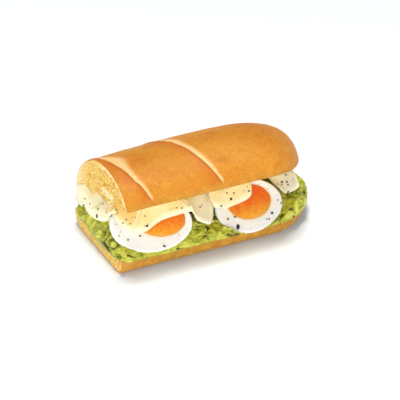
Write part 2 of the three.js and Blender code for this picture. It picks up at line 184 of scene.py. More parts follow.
def steps_from_edge(columns):
    """How many steps each column of a grid lies from the nearer side."""
    index = np.arange(columns + 1)
    return np.minimum(index, columns - index)


def put(name, data):
    """A new object in the scene."""
    piece = bpy.data.objects.new(name, data)
    bpy.context.scene.collection.objects.link(piece)
    return piece


class Shell:
    """Grids of points joined along their shared edges into one closed mesh, with values on the points."""

    MERGE = 200  # points closer than 1/200 mm are one

    def __init__(self):
        self.points, self.faces, self.values, self.count = [], [], {}, 0

    def add(self, grid, **values):
        rows, columns = grid.shape[:2]
        index = np.arange(rows * columns).reshape(rows, columns) + self.count
        a, b, c, d = index[:-1, :-1], index[:-1, 1:], index[1:, 1:], index[1:, :-1]
        self.faces.append(np.stack([a, b, c], -1).reshape(-1, 3))
        self.faces.append(np.stack([a, c, d], -1).reshape(-1, 3))
        self.points.append(grid.reshape(-1, 3))
        for name in {**self.values, **values}:
            old = self.values.setdefault(name, np.zeros(self.count))
            new = np.broadcast_to(values.get(name, 0), (rows, columns)).reshape(-1)
            self.values[name] = np.concatenate([old, new])
        self.count += rows * columns

    def build(self, name, material):
        """One mesh of triangles with outward faces, in which points that meet are joined."""
        points, faces = np.concatenate(self.points), np.concatenate(self.faces)
        place = np.round(points * self.MERGE).astype(np.int64) + 2**19
        place = (place[:, 0] << 42) + (place[:, 1] << 21) + place[:, 2]  # three numbers under 2^21 in one
        _, first, merged = np.unique(place, return_index=True, return_inverse=True)
        faces = merged[faces]
        faces = faces[(faces != np.roll(faces, 1, axis=1)).all(axis=1)]
        mesh = bpy.data.meshes.new(name)
        mesh.vertices.add(len(first))
        mesh.vertices.foreach_set("co", ((points[first] - MIDDLE) * MM).astype(np.float32).ravel())
        mesh.loops.add(faces.size)
        mesh.loops.foreach_set("vertex_index", faces.astype(np.int32).ravel())
        mesh.polygons.add(len(faces))
        mesh.polygons.foreach_set("loop_start", np.arange(0, faces.size, 3, dtype=np.int32))
        mesh.update(calc_edges=True)
        for mark, value in self.values.items():
            layer = mesh.attributes.new(mark, "FLOAT", "POINT")
            layer.data.foreach_set("value", value[first].astype(np.float32))
        shape = bmesh.new()
        shape.from_mesh(mesh)
        bmesh.ops.recalc_face_normals(shape, faces=shape.faces)
        loose = [point for point in shape.verts if not point.link_faces]
        bmesh.ops.delete(shape, geom=loose, context="VERTS")
        shape.to_mesh(mesh)
        shape.free()
        mesh.shade_smooth()
        mesh.materials.append(material)
        return put(name, mesh)


# Node trees


class Value:
    """A socket of a node tree; arithmetic on it adds Math nodes."""

    def __init__(self, tree, socket):
        self.tree, self.socket = tree, socket

    def math(self, operation, first, second):
        return self.tree.node("ShaderNodeMath", {"operation": operation}, [first, second])

    def __add__(self, other):
        return self.math("ADD", self, other)

    def __sub__(self, other):
        return self.math("SUBTRACT", self, other)

    def __rsub__(self, other):
        return self.math("SUBTRACT", other, self)

    def __mul__(self, other):
        return self.math("MULTIPLY", self, other)

    __radd__ = __add__
    __rmul__ = __mul__


class Tree:
    """A node tree whose nodes are made by one method."""

    def __init__(self, tree):
        self.tree = tree

    def node(self, kind, settings=None, inputs=(), output=0):
        """Makes a node, sets its settings, then its sockets from values or links; gives an output."""
        node = self.tree.nodes.new(kind)
        for name, value in (settings or {}).items():
            setattr(node, name, value)
        pairs = inputs.items() if isinstance(inputs, dict) else enumerate(inputs)
        for place, value in pairs:
            if isinstance(value, Value):
                self.tree.links.new(value.socket, node.inputs[place])
            else:
                node.inputs[place].default_value = value
        return Value(self, node.outputs[output])


def paint(red, green, blue):
    """A colour given as it looks on screen, 0 to 255, as the linear colour that shaders take."""
    channels = [c / 255 for c in (red, green, blue)]
    return (*[c / 12.92 if c <= 0.04045 else ((c + 0.055) / 1.055) ** 2.4 for c in channels], 1)


class Finish(Tree):
    """A material with a Principled shader, whose uniform values are set straight on its sockets."""

    def __init__(self, name, **uniform):
        self.material = bpy.data.materials.new(name)
        self.material.use_nodes = True
        super().__init__(self.material.node_tree)
        self.shader = self.tree.nodes["Principled BSDF"]
        for socket, value in uniform.items():
            self.shader.inputs[socket.replace("_", " ")].default_value = value
        self.place = self.node("ShaderNodeTexCoord", output="Object")

    def feed(self, socket, value):
        self.tree.links.new(value.socket, self.shader.inputs[socket])

    def mark(self, name):
        """A value carried by the piece's points."""
        return self.node("ShaderNodeAttribute", {"attribute_name": name}, output="Fac")

    def grain(self, size, detail, rough=0.5, stretch=None):
        """Noise with features about `size` mm across, 0 to 1, longer along an axis where stretched."""
        place = self.place
        if stretch:
            place = self.node("ShaderNodeMapping", inputs={0: place, 3: stretch})
        values = {"Vector": place, "Scale": 1 / (size * MM), "Detail": detail, "Roughness": rough}
        return self.node("ShaderNodeTexNoise", inputs=values)

    def fade(self, value, low, high):
        """Goes from 0 at `low` to 1 at `high`, smoothly."""
        inputs = {0: value, 1: low, 2: high}
        return self.node("ShaderNodeMapRange", {"interpolation_type": "SMOOTHSTEP"}, inputs)

    def mix(self, share, *colours):
        """Goes from one colour to another; one that isn't a link is given as it looks on screen."""
        first, second = (c if isinstance(c, Value) else paint(*c) for c in colours)
        inputs = {0: share, 6: first, 7: second}
        return self.node("ShaderNodeMix", {"data_type": "RGBA"}, inputs, output=2)

    def coats(self, colour, *coats):
        """Lays more colours over one, each with its share."""
        for share, other in coats:
            colour = self.mix(share, colour, other)
        return colour

    def bump(self, height, strength, distance):
        inputs = {"Strength": strength, "Distance": distance * MM, "Height": height}
        self.feed("Normal", self.node("ShaderNodeBump", inputs=inputs))


# Finishes, with colours as they look on screen

GOLDEN, DEEP_ORANGE, LOBE_ORANGE = (211, 143, 40), (197, 115, 20), (194, 103, 16)
PALE_SPECK, BROWN_SPECK, BROWN_PATCH = (232, 172, 84), (188, 106, 28), (188, 102, 14)
PALE_TEAR, LIP_SHADOW_BROWN, FLOURY_CRUST = (252, 212, 146), (164, 84, 18), (232, 170, 92)
LOW_GOLD, LOW_BROWN = (206, 154, 52), (176, 118, 30)
CRUMB_CREAM, CRUMB_WARM, CRUMB_YELLOW = (236, 200, 120), (238, 196, 104), (239, 192, 80)
CRUMB_GOLD_AND_PORE_SHADE, CRUMB_LIGHT, CRUMB_PORE = (222, 164, 46), (250, 228, 158), (206, 138, 34)
CRUMB_WHITE, RIND = (255, 238, 196), (206, 134, 58)
LEAF_GREEN, LIME, PALE_LIME_AND_PAINTED_LIGHT, LIME_FLECK = (142, 144, 22), (182, 182, 46), (214, 212, 84), (222, 220, 98)
OLIVE_AND_CREASE_SHADE, BLACK_OLIVE_AND_CREASE_SHADE = (106, 110, 12), (52, 56, 6)
EGG_WHITE, EGG_WHITE_GREY, WARM_WHITE = (255, 253, 247), (251, 249, 244), (252, 226, 160)
YOLK_ORANGE, YOLK_RED_AND_SHADE, YOLK_YELLOW = (237, 122, 18), (235, 88, 26), (247, 166, 34)
YOLK_GRAIN, YOLK_RIM, YOLK_PAINTED_GLINT = (252, 190, 64), (242, 150, 34), (255, 228, 150)
CHEESE_CREAM, CHEESE_YELLOW, CHEESE_SHADE = (253, 238, 192), (249, 228, 164), (226, 190, 96)
CHEESE_PALE_PAINTED_LIGHT, CHEESE_EDGE = (255, 244, 214), (255, 246, 212)
PEPPER_BLACK, PEPPER_BROWN = (14, 12, 10), (52, 40, 30)


def bread_finish():
    """Baked crust, pale where it tore along the slashes, and open crumb where it was sliced."""
    bread = Finish("bread", Subsurface_Weight=0.05, Subsurface_Scale=0.003,
                   Subsurface_Radius=(1, 0.5, 0.15), Specular_IOR_Level=0.28)
    fade, grain, mark = bread.fade, bread.grain, bread.mark
    broad = grain(30, 2, stretch=(0.45, 1, 1))
    mottle = grain(4.5, 4, 0.6)
    speckle = grain(1.1, 2, 0.6)
    patches = grain(11, 4, 0.65, stretch=(0.7, 1.2, 1.2))
    tear = mark("tear") * (0.2 + 1.5 * grain(2, 4, 0.7))
    low = bread.mix(fade(speckle * 0.5 + mottle * 0.6, 0.42, 0.68), LOW_GOLD, LOW_BROWN)
    crust = bread.coats(
        GOLDEN,
        (fade(broad * 0.6 + mottle * 0.35 + speckle * 0.2, 0.4, 0.76), DEEP_ORANGE),
        (fade(speckle, 0.54, 0.7) * 0.5, PALE_SPECK),
        (fade(grain(1.5, 3, 0.6), 0.52, 0.68) * 0.65, BROWN_SPECK),
        (fade(patches, 0.53, 0.7) * 0.5, BROWN_PATCH),
        (mark("lobe") * (0.35 + 0.7 * mottle), LOBE_ORANGE),
        (bread.node("ShaderNodeClamp", inputs=[tear]), PALE_TEAR),
        # painted shadow: a thin dark line along the lip of each slash
        (mark("lips") * (0.15 + 0.8 * mottle), LIP_SHADOW_BROWN),
        (mark("floury") * 0.5, FLOURY_CRUST),
        (mark("low") * 0.9, low),
    )
    patch = grain(4, 3, 0.6)
    crisp = grain(1.5, 2, 0.6)
    golden, pale, cut = mark("golden"), mark("pale"), mark("cut")
    crumb = bread.coats(
        CRUMB_CREAM,
        (fade(patch, 0.38, 0.62), CRUMB_WARM),
        (golden * 0.4, CRUMB_YELLOW),
        # painted shade deep in the pores, with golden tone where the crumb is golden
        (fade(mark("hollow") + 0.25 * golden, 0.25, 0.95) * 0.8, CRUMB_GOLD_AND_PORE_SHADE),
        (fade(crisp, 0.52, 0.64) * (0.25 + 0.5 * golden), CRUMB_LIGHT),
        (fade(1 - crisp, 0.54, 0.64) * (0.25 + 0.65 * golden) * (1 - pale), CRUMB_PORE),
        (pale * (0.5 + 0.6 * patch), CRUMB_WHITE),
        (fade(mark("rind"), 0.4, 0.8), RIND),
    )
    bread.feed("Base Color", bread.mix(cut, crust, crumb))
    bread.feed("Roughness", 0.5 + 0.3 * cut + 0.12 * mottle)
    bread.bump(mottle * 0.5 + grain(0.7, 3, 0.6) * (0.35 + 0.9 * cut) + speckle * 0.3, 0.45, 0.35)
    return bread.material


def avocado_finish():
    """Moist coarse mash: flakes of lime and pale green, the pale green partly painted light on the higher
    flakes, and painted shade, olive to nearly black, in the creases between.
    """
    mash = Finish("avocado", Subsurface_Weight=0.12, Subsurface_Scale=0.0015,
                  Subsurface_Radius=(0.8, 1, 0.15), Specular_IOR_Level=0.35)
    streak = mash.grain(2.4, 4, 0.65, stretch=(0.6, 1.3, 1.6))
    fine = mash.grain(0.9, 3, 0.6)
    high = mash.mark("high")
    tone = mash.mark("tone") * 0.6 + mash.grain(14, 3) * 0.5 + streak * 0.3
    mash.feed("Base Color", mash.coats(
        LEAF_GREEN,
        (mash.fade(tone, 0.35, 0.72), LIME),
        # pale green by tone, and partly painted light on the higher flakes
        (mash.fade(tone + 0.35 * high, 0.9, 1.3), PALE_LIME_AND_PAINTED_LIGHT),
        (mash.fade(fine, 0.58, 0.76) * 0.6, LIME_FLECK),
        # painted shade in the creases, olive, and olive patches varying at random on the sides
        ((1 - mash.fade(high + 0.3 * streak, 0.2, 0.62)) * 0.8, OLIVE_AND_CREASE_SHADE),
        # painted shade, nearly black, deepest in the creases, and dark spots at random on the sides
        ((1 - mash.fade(high, 0, 0.24)) * 0.9, BLACK_OLIVE_AND_CREASE_SHADE),
    ))
    mash.feed("Roughness", 0.26 + 0.25 * fine)
    mash.feed("Coat Weight", mash.fade(streak, 0.45, 0.62) * 0.45)
    mash.bump(streak * 0.8 + fine * 0.5, 0.6, 0.5)
    return mash.material


def white_finish():
    """Smooth moist egg white, a little uneven and warm round the yolk."""
    white = Finish("egg_white", Subsurface_Weight=0.3, Subsurface_Scale=0.003,
                   Subsurface_Radius=(1, 0.9, 0.75), IOR=1.38)
    soft = white.grain(9, 2)
    colour = white.mix(white.fade(soft, 0.35, 0.7), EGG_WHITE, EGG_WHITE_GREY)
    white.feed("Base Color", white.mix(white.mark("warm") * 0.6, colour, WARM_WHITE))
    white.feed("Roughness", 0.26 + 0.12 * soft)
    white.bump(soft * 0.6 + white.grain(1.2, 2) * 0.15, 0.25, 0.4)
    return white.material


def yolk_finish():
    """Soft yolk: red orange at its top, partly painted shade, orange in the middle, wet yellow and grainy
    at its lower rim, with painted glints there.
    """
    yolk = Finish("egg_yolk", Subsurface_Weight=0.3, Subsurface_Scale=0.003,
                  Subsurface_Radius=(1, 0.45, 0.1), IOR=1.42)
    cloud = yolk.grain(7, 4, 0.6)
    fine = yolk.grain(1.3, 3, 0.6)
    # how high on the cut face: the top turns red, partly painted shade under the cheese
    height = yolk.mark("up") + (cloud - 0.5) * 0.5
    # painted glints on the lower part of the cut face
    painted_glint = yolk.fade(yolk.grain(0.9, 2, 0.6), 0.6, 0.68) * (1 - yolk.fade(height, 0.3, 0.7))
    yolk.feed("Base Color", yolk.coats(
        YOLK_ORANGE,
        (yolk.fade(height, 0.3, 0.95), YOLK_RED_AND_SHADE),
        (1 - yolk.fade(height, 0, 0.5), YOLK_YELLOW),
        (yolk.fade(fine, 0.55, 0.75) * 0.45, YOLK_GRAIN),
        (yolk.mark("rim") * 0.45, YOLK_RIM),
        (painted_glint * 0.7, YOLK_PAINTED_GLINT),
    ))
    yolk.feed("Roughness", 0.16 + 0.3 * fine)
    yolk.feed("Coat Weight", yolk.fade(fine, 0.45, 0.6) * 0.8)
    yolk.bump(cloud * 0.5 + fine * 0.6, 0.7, 0.6)
    return yolk.material


def cheese_finish():
    """Satin slice, creamy, with painted shade, darker yellow, where it lies back under the lid, painted
    light where it turns pale along its length, and paler at its edges.
    """
    cheese = Finish("cheese", Subsurface_Weight=0.35, Subsurface_Scale=0.003,
                    Subsurface_Radius=(1, 0.85, 0.5), IOR=1.44)
    soft = cheese.grain(13, 3)
    fine = cheese.grain(1.6, 3, 0.55)
    cheese.feed("Base Color", cheese.coats(
        CHEESE_CREAM,
        (cheese.fade(soft, 0.35, 0.65), CHEESE_YELLOW),
        # painted shade, darker yellow, at the back under the lid
        (cheese.mark("back") * 0.9, CHEESE_SHADE),
        # painted light where the slice turns pale
        (cheese.mark("pale"), CHEESE_PALE_PAINTED_LIGHT),
        (cheese.mark("edge") * 0.6, CHEESE_EDGE),
    ))
    cheese.feed("Roughness", 0.33 + 0.15 * fine)
    cheese.bump(soft * 0.5 + fine * 0.25, 0.3, 0.4)
    return cheese.material


def pepper_finish():
    pepper = Finish("pepper", Roughness=0.7)
    shade = pepper.fade(pepper.grain(0.5, 2, 0.6), 0.4, 0.7)
    pepper.feed("Base Color", pepper.mix(shade, PEPPER_BLACK, PEPPER_BROWN))
    return pepper.material


# Rolls: stations along them and their cut faces


def stations(start, end, run, count, end_count):
    """Places along a roll: evenly spread to where its end starts to round off, closer to the tip."""
    straight = end - run
    flat = start + (straight - start) * np.arange(count) / count
    return np.concatenate([flat, straight + run * np.sin(np.linspace(0, math.pi / 2, end_count + 1))])


def arc(turn, power):
    """Half a super ellipse of radius 1 over turns from 0 to 1: across, from 1 to -1, and up."""
    angle = math.pi * turn
    across = np.sign(np.cos(angle)) * np.abs(np.cos(angle)) ** (2 / power)
    return across, np.abs(np.sin(angle)) ** (2 / power)


def even(outline, count, *carried):
    """An outline of a roll's cross section with its points spread evenly, and values carried along."""
    step = np.linalg.norm(np.diff(outline, axis=0), axis=1)
    rise = np.linspace(0, 1e-9, len(outline))  # so that it still rises where all points are one
    length = np.concatenate([[0], np.cumsum(step)]) + rise
    at = np.linspace(0, length[-1], count + 1)
    spread = np.stack([np.interp(at, length, axis) for axis in outline.T], -1)
    return [spread, *[np.interp(at, length, c) for c in carried]]


def cut_face(top, bottom, rows, seed, near_crust, golden_at, pale_at, pale_rim):
    """The crumb of a cut face at X 0, between its upper and lower outline. It is open with bubbles and
    carries how deep each point lies, how golden or pale it is and how near the crust. `pale_rim` is how
    pale it is along its front rim."""
    share = np.linspace(0, 1, rows + 1)[:, None, None]
    face = blend(top[None], bottom[None], share)
    plane, y, z = face[..., 1:], face[..., 1], face[..., 2]
    near, golden = near_crust(y, z), golden_at(y)
    calm = smooth(0.6, 3, near)
    big = pores(plane, 4.4, 0.3, seed) * 0.8
    middle = pores(plane + 3, 2.1, 0.6, seed + 10) * 0.6
    small = pores(plane + 7, 1.2, 0.8, seed + 20) * 0.4
    depth = np.maximum(np.maximum(big, middle), small) * blend(0.55, 1, golden) * calm
    uneven = 0.4 * layered(face, 4, 4, seed + 30) + 0.4 * lumps(7, y, z, 9)
    inside = np.ones(near.shape)
    inside[0] = inside[-1] = 0
    inside[:, 0] = inside[:, -1] = 0
    face[..., 0] += (1.5 * depth + uneven * calm) * inside * np.minimum(1, near / 1.5)
    rind = (1 - smooth(0.5, 1.1, near)) * (smooth(0, 20, y) if pale_rim else 1)
    rim = smooth(0, 0.6, near) * (1 - smooth(2.6, 4.6, near)) * (1 - rind) * smooth(8, -12, y)
    pale = np.maximum(pale_at(y, z), pale_rim * rim)
    # how deep each point lies in a pore, which sets the painted shade there
    hollow = depth * (1 - 0.7 * rim)
    return face, {"cut": 1, "hollow": hollow, "golden": golden, "rind": rind, "pale": pale}


# The base bread

BASE_DISH = 1.2  # how far its sliced side dips
BASE_BELLY = 2.2  # what the flat underside takes off its round one
CRUST_POWER = (4.5, 2.8)  # how square the outline is, back and front


def base_half(x):
    return BASE_WIDTH / 2 * taper(x, LENGTH, BASE_END["width"], BASE_END["power"])


def base_top(x, y):
    half = base_half(x)
    t = np.clip((y - BASE_MIDDLE) / np.maximum(half, 1e-6), -1, 1)
    return BASE_RIM - BASE_DISH * (1 - t**4) * np.minimum(1, half / 20)


def base_piece(material):
    columns = 170
    fine = np.linspace(0, 1, 700)
    side, drop = arc(1 - fine, blend(*CRUST_POWER, fine))
    across = np.linspace(-1, 1, columns + 1)
    crust, top = [], []
    for x in stations(0, LENGTH, BASE_END["width"], 130, 55):
        half = base_half(x)
        depth = (BASE_RIM + BASE_BELLY) * taper(x, LENGTH, BASE_END["height"], BASE_END["power"])
        z = np.maximum(0, BASE_RIM - depth * drop)
        crust.append(even(points_at(x, BASE_MIDDLE + half * side, z), columns)[0])
        y = BASE_MIDDLE + half * across
        top.append(points_at(x, y, base_top(x, y)))
    crust, top = np.array(crust), np.array(top)
    normal = -grid_normals(crust)
    calm = np.minimum(1, steps_from_edge(columns) / 3) * np.minimum(1, np.arange(len(crust)) / 2)[:, None]
    above = smooth(0.4, 2.5, crust[..., 2])
    crust += normal * (0.28 * layered(crust, 9, 4, 3) * calm * above)[..., None]
    crust[..., 2] = np.maximum(0, crust[..., 2])

    def near(y, z):
        half = BASE_WIDTH / 2
        out = super_ellipse((y - BASE_MIDDLE) / half, 3.6) * (BASE_RIM + BASE_BELLY)
        return np.minimum(z - np.maximum(0, BASE_RIM - out), half - np.abs(y - BASE_MIDDLE))

    def golden(y):
        return 0.5 + 0.5 * smooth(5, -25, y)

    def pale(y, z):
        return 0 * y

    face, marks = cut_face(top[0], crust[0], 40, 5, near, golden, pale, pale_rim=0)
    light = 1 - smooth(2, 34, crust[..., 0] + 6 * noise(crust, 8, 4))
    ripe = smooth(100, 165, crust[..., 0])
    shell = Shell()
    floury = 0.8 * light * smooth(1, 6, crust[..., 2])
    shell.add(crust, floury=floury, lobe=0.6 * ripe, low=1 - 0.4 * light)
    shell.add(top, cut=1)
    shell.add(face, **marks)
    return shell.build("base_roll", material)


# The lid

LID_POWER = 1.95  # how square the outline is
CRUMB_ARCH = 7.4  # how hollow the sliced side is along its middle
CRUMB_GIVE = 15  # how far the filling can press it in
PALE_SEAM = ((-6, 57), (-21, 59))  # Y and Z of the ends of a pale seam in the cut face


def lid_half(x):
    return LID_WIDTH / 2 * taper(x, LID_LENGTH, LID_END["width"], LID_END["power"])


def lid_height(x):
    crown = LID_HEIGHT + LID_ARCH * np.sin(math.pi * np.clip(x / LID_LENGTH, 0, 1))
    return crown * taper(x, LID_LENGTH, LID_END["height"], LID_END["crown_power"])


def lid_tuck(x):
    """How much higher the sliced side lies towards the far end."""
    return LID_END["tuck"] * (1 - taper(x, LID_LENGTH, 26, 2))


def lid_point(x, across, up):
    """A point given across the lid (front low) and up from its sliced side."""
    c, s = math.cos(LID_TILT), math.sin(LID_TILT)
    y = LID_CENTRE[0] + across * c + up * s
    return points_at(x, y, LID_CENTRE[1] - across * s + up * c)


def lid_crust(x, turn):
    side, rise = arc(turn, LID_POWER)
    tuck = lid_tuck(x)
    return lid_point(x, lid_half(x) * side, tuck + np.maximum(0, lid_height(x) - tuck) * rise)


# The slashes: where the lip runs, with a painted shadow line along it, as X over the turn round the crust,
# and how wide the pale tear beside it is, with a leaf where it opens more.
SLASHES = [
    {"start": 4.5, "run": 18.8, "bend": 1.4, "from": 0.5, "width": 4.2, "leaf": 6.5, "leaf_at": 0.6,
     "pale": 0.82},
    {"start": 49.5, "run": 30.5, "bend": 1, "from": 0.4, "width": 4.4, "leaf": 3, "leaf_at": 0.52,
     "pale": 0.9},
]
SLASH_TURNS = (0.36, 0.45, 0.93, 0.98)  # a slash fades in and out over these turns
SLASH_LOBE = 6  # reach of the darker baked strip before a slash


def slash_marks(x, turn):
    """Relief in mm of the slashes over the crust, and shares of pale tear, baked lobe and painted shadow
    along the lip.
    """
    relief, tear, lobe, lips = (np.zeros(x.shape) for _ in range(4))
    fade_in, full, fall, gone = SLASH_TURNS
    ends = smooth(fade_in, full, turn) * (1 - smooth(fall, gone, turn))
    for s in SLASHES:
        lip = s["start"] + s["run"] * (np.clip(turn - s["from"], 0, 1) / (1 - s["from"])) ** s["bend"]
        wide = s["width"] + s["leaf"] * np.exp(-(((turn - s["leaf_at"]) / 0.08) ** 2))
        off = x - lip + 0.6 * noise(points_at(turn * 130, x * 0.1, 0), 5, 21)
        wide = np.maximum(0.5, wide * ends * (1 - 0.5 * smooth(0.7, 0.95, turn)) + 0.5)
        inside = smooth(-0.6, 0.9, off) * (1 - smooth(0.5, 1.3, off / wide))
        lift = np.exp(-(((off + 2.2) / 3.4) ** 2)) * (1 - smooth(-0.5, 0.9, off))
        sink = smooth(-0.5, 0.9, off) * np.clip(1 - off / (wide * 1.4), 0, 1)
        relief += ends * (0.6 * lift - 0.9 * sink)
        tear = np.maximum(tear, inside * ends * s["pale"])
        before = 1 - smooth(-0.6, 0.8, off)
        lobe = np.maximum(lobe, ends * np.exp(-(((off + 2) / SLASH_LOBE) ** 2)) * before)
        # painted shadow line just before each slash's lip
        lips = np.maximum(lips, ends * np.exp(-((off + 0.4) ** 2)) * smooth(0.46, 0.56, turn))
    return relief, tear, lobe, lips


def lid_piece(filling, material):
    columns = 190
    fine = np.linspace(0, 1, 900)
    crust, turns, under = [], [], []
    across = np.linspace(1, -1, columns + 1)
    for x in stations(0, LID_LENGTH, LID_END["width"], 120, 55):
        outline, turn = even(lid_crust(x, fine), columns, fine)
        crust.append(outline)
        turns.append(turn)
        point = lid_point(x, lid_half(x) * across, lid_tuck(x))
        room = taper(x, LID_LENGTH, LID_END["height"], 2) * (1 - across**8)
        arch = CRUMB_ARCH * room * (1 + 0.55 * across)
        pressed = filling.at(point[:, 0], point[:, 1]) + 2 * GAP - point[:, 2]
        point[:, 2] += np.maximum(arch, np.minimum(pressed, CRUMB_GIVE * np.minimum(1, 1.6 * room)))
        under.append(point)
    crust, turns, under = np.array(crust), np.array(turns), np.array(under)
    normal = -grid_normals(crust)
    relief, tear, lobe, lips = slash_marks(crust[..., 0], turns)
    calm = np.minimum(1, steps_from_edge(columns) / 4) * np.minimum(1, (LID_LENGTH - crust[..., 0]) / 4)
    skin = 0.22 * layered(crust, 14, 3, 8) + 0.1 * layered(crust, 3.5, 3, 9)
    crust += normal * ((relief + skin) * calm)[..., None]
    from_cut = np.minimum(1, np.arange(len(under)) / 3)[:, None]
    under[..., 2] += 0.35 * layered(under, 3, 3, 12) * calm * from_cut

    def near(y, z):
        y, z = y - LID_CENTRE[0], z - LID_CENTRE[1]
        c, s = math.cos(LID_TILT), math.sin(LID_TILT)
        across, up = y * c - z * s, y * s + z * c
        r = np.hypot(across / (LID_WIDTH / 2), up / lid_height(0))
        return (1 - r) * np.hypot(across, up) / np.maximum(r, 1e-3)

    def golden(y):
        return 0.25 + 0.75 * smooth(16, -16, y)

    def pale(y, z):
        """A dense white seam low in the crumb, and its pale back part."""
        (ay, az), (by, bz) = PALE_SEAM
        along = ((y - ay) * (by - ay) + (z - az) * (bz - az)) / ((by - ay) ** 2 + (bz - az) ** 2)
        along = np.clip(along, 0, 1)
        off = np.hypot(y - blend(ay, by, along), z - blend(az, bz, along))
        return np.maximum(np.exp(-((off / 2.5) ** 2)), 0.5 * smooth(20, 40, y))

    face, marks = cut_face(crust[0], under[0], 84, 2, near, golden, pale, pale_rim=0.75)
    floury = 0.55 * smooth(118, 157, crust[..., 0])
    low = 0.75 * smooth(0.945, 1, turns)
    shell = Shell()
    shell.add(crust, tear=tear, lobe=lobe, lips=lips, floury=floury, low=low)
    # its crumb underside gets a little of the painted pore shade
    shell.add(under, cut=1, hollow=0.3)
    shell.add(face, **marks)
    return shell.build("lid_roll", material)


# The eggs

# Each half has the middle of its cut face, its turn in plan, how far the cut face leans back, and its
# length, width and depth. The yolk's middle is given in the cut face. The third egg shows none.
EGGS = [
    {"at": (28.6, -27.5, 33), "turn": 20, "lean": 45, "long": 61, "wide": 43, "deep": 19,
     "yolk": {"at": (7.5, 2.5), "long": 36, "wide": 26}},
    {"at": (109.5, -27, 27), "turn": 0, "lean": 42, "long": 54.5, "wide": 41, "deep": 16,
     "yolk": {"at": (1, 2.3), "long": 35, "wide": 26}},
    {"at": (15.5, 16, 33.4), "turn": 80, "lean": 68, "long": 42, "wide": 38, "deep": 14},
]
NO_YOLK = {"at": (0, 0), "long": 2, "wide": 2}
YOLK_DEPTH = 11
BLUNT = 0.06  # how much narrower one end of an egg is
EGG_LIP = 1.1  # radius of the rounded edge of the cut face
AROUND = np.linspace(0, 2 * math.pi, 181)


def egg_axes(egg):
    phi, rise = math.radians(egg["turn"]), math.radians(egg["lean"])
    along = np.array([math.cos(phi), -math.sin(phi), 0])
    normal = np.array([-math.sin(phi) * math.cos(rise), -math.cos(phi) * math.cos(rise), math.sin(rise)])
    return np.stack([along, np.cross(normal, along), normal])


def egg_line(egg, x, y):
    """The upright line over a plan point in the egg's own axes: its foot and its direction."""
    axes = egg_axes(egg)
    foot = points_at(x, y, 0) - np.array(egg["at"])
    return foot @ axes.T, axes[:, 2]


def crossings(foot, up, squash):
    """Heights at which upright lines enter and leave what `squash` makes a unit ball, and which do."""
    o, d = foot * squash, up * squash
    a, b, c = d @ d, o @ d, (o**2).sum(-1) - 1
    root = b * b - a * c
    spread = np.sqrt(np.maximum(root, 0))
    return (-b - spread) / a, (-b + spread) / a, root > 0


def egg_top(egg, x, y):
    """Height of the egg half's upper side over plan points, very low where there is none."""
    foot, up = egg_line(egg, x, y)
    squash = np.array([2 / (egg["long"] * 1.02), 2 / (egg["wide"] * 1.02), 1 / (egg["deep"] * 1.02)])
    low, high, met = crossings(foot, up, squash)
    face = -foot[..., 2] / up[2]
    return np.where(met & (face >= low), np.minimum(high, face), -99.0)


def open_above(egg, x, y, margin):
    """Height at which an upright line comes out in front of the egg's cut face, very high elsewhere."""
    foot, up = egg_line(egg, x, y)
    squash = np.array([2 / (egg["long"] + 2 * margin), 2 / (egg["wide"] + 2 * margin)])
    low, high, met = crossings(foot[..., :2], up[:2], squash)
    enter = np.maximum(low, -foot[..., 2] / up[2])
    return np.where(met & (enter < high), enter, 999.0)


def egg_ring(egg, flat, depth):
    """A ring of points given in the plane of the egg's cut face and how far out of it they lie."""
    return points_at(*flat.T, depth) @ egg_axes(egg) + np.array(egg["at"])


def yolk_edge(number, egg):
    """The middle of the yolk in the cut face and its slightly uneven outline round that."""
    yolk = egg.get("yolk", NO_YOLK)
    edge = points_at(np.cos(AROUND) * yolk["long"] / 2, np.sin(AROUND) * yolk["wide"] / 2)
    edge *= 1 + 0.02 * noise(edge, 6, number)[:, None]
    edge[-1] = edge[0]
    return np.array(yolk["at"]), edge


def white_piece(number, egg, material):
    """The white: the hollow round the yolk, the cut face, its rounded edge and the outside."""
    centre, edge = yolk_edge(number, egg)
    outline = points_at(np.cos(AROUND) * egg["long"] / 2,
                        np.sin(AROUND) * (1 - BLUNT * np.cos(AROUND)) * egg["wide"] / 2)
    lip = 2 * EGG_LIP / egg["wide"]
    rows, warm = [], []
    if "yolk" in egg:
        for angle in np.linspace(0, math.pi / 2, 14):
            flat = centre + edge * math.sin(angle) * 1.01
            rows.append(egg_ring(egg, flat, -YOLK_DEPTH * math.cos(angle) - 0.1))
            warm.append(1)
    for share in np.linspace(0, 1, 34):
        flat = blend(centre + edge * (1.01 if "yolk" in egg else 0), outline * (1 - lip), share)
        wave = 0.16 * noise(points_at(*flat.T, 0), 11, 30 + number) * min(1, 8 * share) + 0.25 * share**2
        wave[-1] = wave[0]
        rows.append(egg_ring(egg, flat, wave - 0.12))
        warm.append(math.exp(-share * 7) if "yolk" in egg else 0)
    for angle in np.linspace(0, math.pi / 2, 7)[1:]:
        flat = outline * (1 - lip * (1 - math.sin(angle)))
        rows.append(egg_ring(egg, flat, 0.13 - EGG_LIP * (1 - math.cos(angle))))
        warm.append(0)
    for angle in np.linspace(math.asin(0.9 * EGG_LIP / egg["deep"]), math.pi / 2, 40)[1:]:
        rows.append(egg_ring(egg, outline * math.cos(angle), -egg["deep"] * math.sin(angle)))
        warm.append(0)
    grid = np.array(rows)
    if "yolk" not in egg:
        grid[0] = grid[0, 0]
    shell = Shell()
    shell.add(grid, warm=np.array(warm)[:, None])
    return shell.build(f"white_of_egg_{number}", material)


